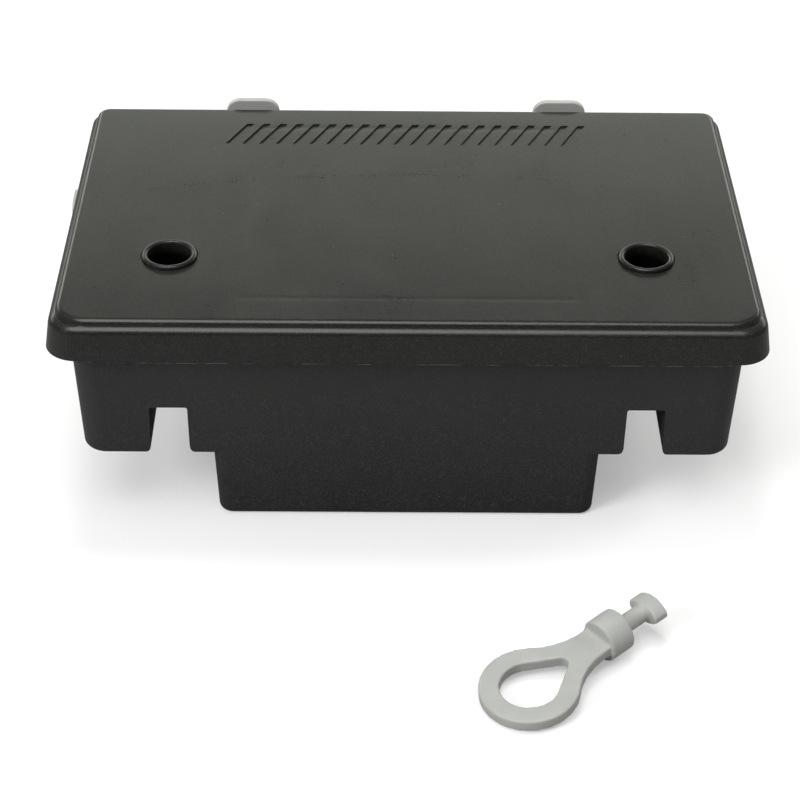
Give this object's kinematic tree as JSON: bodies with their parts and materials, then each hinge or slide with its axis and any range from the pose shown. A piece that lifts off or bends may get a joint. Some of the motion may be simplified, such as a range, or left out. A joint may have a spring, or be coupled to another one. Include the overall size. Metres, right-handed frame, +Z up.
{
  "type": "bait station",
  "caption": "Black stepped rodent bait station with a hinged, key-locked lid, lift-out bait tray, bait rods and a loose grey T-head key.",
  "frame": {"origin": "middle of the tub's footprint, on the floor", "axes": "+X to the right seen from the front, +Y to the back (the hinge side), +Z up"},
  "size_m": [0.2335, 0.2544, 0.0826],
  "materials": {
    "tub_plastic": "fine moulded satin",
    "lid_plastic": "fine moulded satin",
    "tray_plastic": "moulded satin",
    "lock_plastic": "moulded satin",
    "grey_plastic": "soft moulded satin",
    "rubber": "dull",
    "steel": "zinc plated"
  },
  "bodies": {
    "tub": {"base_tub": "tub_plastic", "hinge_pin_left": "steel", "hinge_pin_right": "steel", "striker_left": "steel", "striker_right": "steel", "striker_rivets": "steel"},
    "lid": {"lid": "lid_plastic", "hinge_strap_left": "grey_plastic", "hinge_strap_right": "grey_plastic", "strap_screws": "steel", "side_clip": "grey_plastic", "lock_washers": "rubber"},
    "lock_left": {"lock_barrel_left": "lock_plastic", "lock_cam_left": "steel", "cam_screw_left": "steel"},
    "lock_right": {"lock_barrel_right": "lock_plastic", "lock_cam_right": "steel", "cam_screw_right": "steel"},
    "tray": {"bait_tray": "tray_plastic"},
    "rod_front": {"bait_rod_front": "steel", "rod_collars_front": "grey_plastic"},
    "rod_rear": {"bait_rod_rear": "steel", "rod_collars_rear": "grey_plastic"},
    "key": {"key": "grey_plastic"}
  },
  "joints": [
    {"name": "lid_hinge", "type": "hinge", "parent": "tub", "child": "lid", "pos_m": [0, 0.07855, 0.0605], "axis": [-1, 0, 0], "range_deg": [0, 110]},
    {"name": "lock_left_turn", "type": "hinge", "parent": "lid", "child": "lock_left", "pos_m": [-0.0786, -0.0319, 0.06], "axis": [0, 0, 1], "range_deg": [0, 90]},
    {"name": "lock_right_turn", "type": "hinge", "parent": "lid", "child": "lock_right", "pos_m": [0.0786, -0.0319, 0.06], "axis": [0, 0, -1], "range_deg": [0, 90]},
    {"name": "tray_lift", "type": "slide", "parent": "tub", "child": "tray", "axis": [0, 0, 1], "range_m": [0, 0.022]},
    {"name": "rod_front_lift", "type": "slide", "parent": "tray", "child": "rod_front", "axis": [0, 0, 1], "range_m": [0, 0.025]},
    {"name": "rod_rear_lift", "type": "slide", "parent": "tray", "child": "rod_rear", "axis": [0, 0, 1], "range_m": [0, 0.025]},
    {"name": "key_lift", "type": "slide", "parent": "tub", "child": "key", "axis": [0, 0, 1], "range_m": [0, 0.06]}
  ]
}
